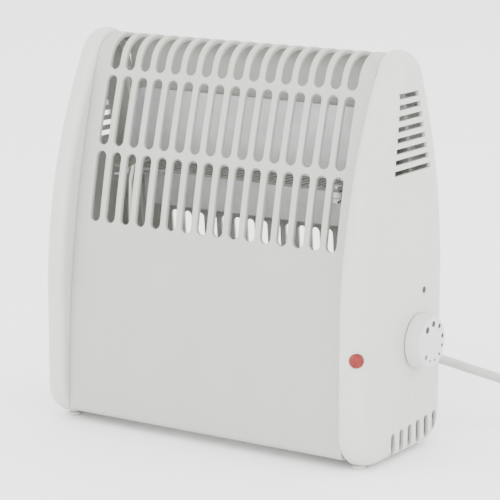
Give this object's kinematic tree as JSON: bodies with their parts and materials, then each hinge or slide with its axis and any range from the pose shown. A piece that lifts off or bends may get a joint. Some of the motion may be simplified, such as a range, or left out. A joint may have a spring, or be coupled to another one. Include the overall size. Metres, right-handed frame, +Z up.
{
  "type": "convector heater",
  "caption": "Small natural-convection heater: wrap-over slotted grille between two rounded end caps, side thermostat dial, orange lamp and mains cord.",
  "frame": {"origin": "middle of the box of casing and knob, on the surface that the feet stand on", "axes": "+X towards the dial end, +Y from the grille to the rear panel, +Z up"},
  "size_m": [0.4225, 0.1672, 0.2599],
  "materials": {
    "casing_plastic": "fine satin moulding",
    "panel_white": "satin white",
    "knob_white": "smooth white",
    "mark_grey": "dark grey print",
    "lens_orange": "translucent orange",
    "zinc_steel": "zinc plated sheet",
    "brass": "plain brass",
    "mica": "layered mica board",
    "ribbon": "oxidised resistance ribbon",
    "ceramic": "glazed ceramic",
    "phenolic": "brown phenolic",
    "rubber_pale": "pale soft rubber",
    "rubber_dark": "soft black rubber",
    "cord_pvc": "pale PVC sheath",
    "neon_glass": "clear glass",
    "wire_brown": "brown core sleeve",
    "wire_green": "green and yellow core sleeve",
    "wire_white": "woven glass sleeve",
    "screw_steel": "plated screws"
  },
  "bodies": {
    "casing": {"front_grille": "panel_white", "rear_panel": "panel_white", "base_plate": "zinc_steel", "end_cap_right": "casing_plastic", "end_cap_left": "casing_plastic", "rubber_feet": "rubber_pale", "heat_shield": "zinc_steel", "element_card": "mica", "element_ribbon": "ribbon", "element_brackets": "zinc_steel", "element_insulators": "ceramic", "element_screws": "screw_steel", "thermal_cutout": "phenolic", "thermostat_body": "ceramic", "thermostat_base": "phenolic", "thermostat_bush": "brass", "bush_nut": "screw_steel", "lever_pin": "screw_steel", "fixed_contact": "brass", "bimetal_strip": "zinc_steel", "index_mark": "mark_grey", "indicator_lens": "lens_orange", "neon_lamp": "neon_glass", "terminal_block": "ceramic", "terminal_screws": "brass", "live_wire": "wire_brown", "neutral_wire": "wire_white", "heater_link": "wire_white", "earth_wire": "wire_green", "earth_stud": "brass", "cord_tail": "cord_pvc", "strain_relief": "cord_pvc", "cord_clamp": "ceramic", "clamp_screws": "screw_steel", "casing_screws": "screw_steel", "base_screws": "screw_steel", "shield_screws": "screw_steel", "mains_cord": "cord_pvc", "cord_coil": "cord_pvc", "coil_tie": "rubber_dark", "plug_body": "knob_white", "plug_pins": "brass", "plug_fuse_cover": "knob_white"},
    "dial": {"control_knob": "knob_white", "dial_marks": "mark_grey", "thermostat_spindle": "brass", "thermostat_cam": "ceramic"},
    "lever": {"contact_lever": "brass"}
  },
  "joints": [
    {"name": "thermostat_dial", "type": "hinge", "parent": "casing", "child": "dial", "pos_m": [0.1193, 0.016, 0.074], "axis": [-1, 0, 0], "range_deg": [-214, 52.7]},
    {"name": "contact_lever", "type": "hinge", "parent": "casing", "child": "lever", "pos_m": [0.1043, 0.005, 0.0812], "axis": [1, 0, 0], "range_deg": [-6, 1.5]}
  ],
  "couplings": [
    {"joint": "contact_lever", "follows": "thermostat_dial", "ratio": 0.0231}
  ]
}
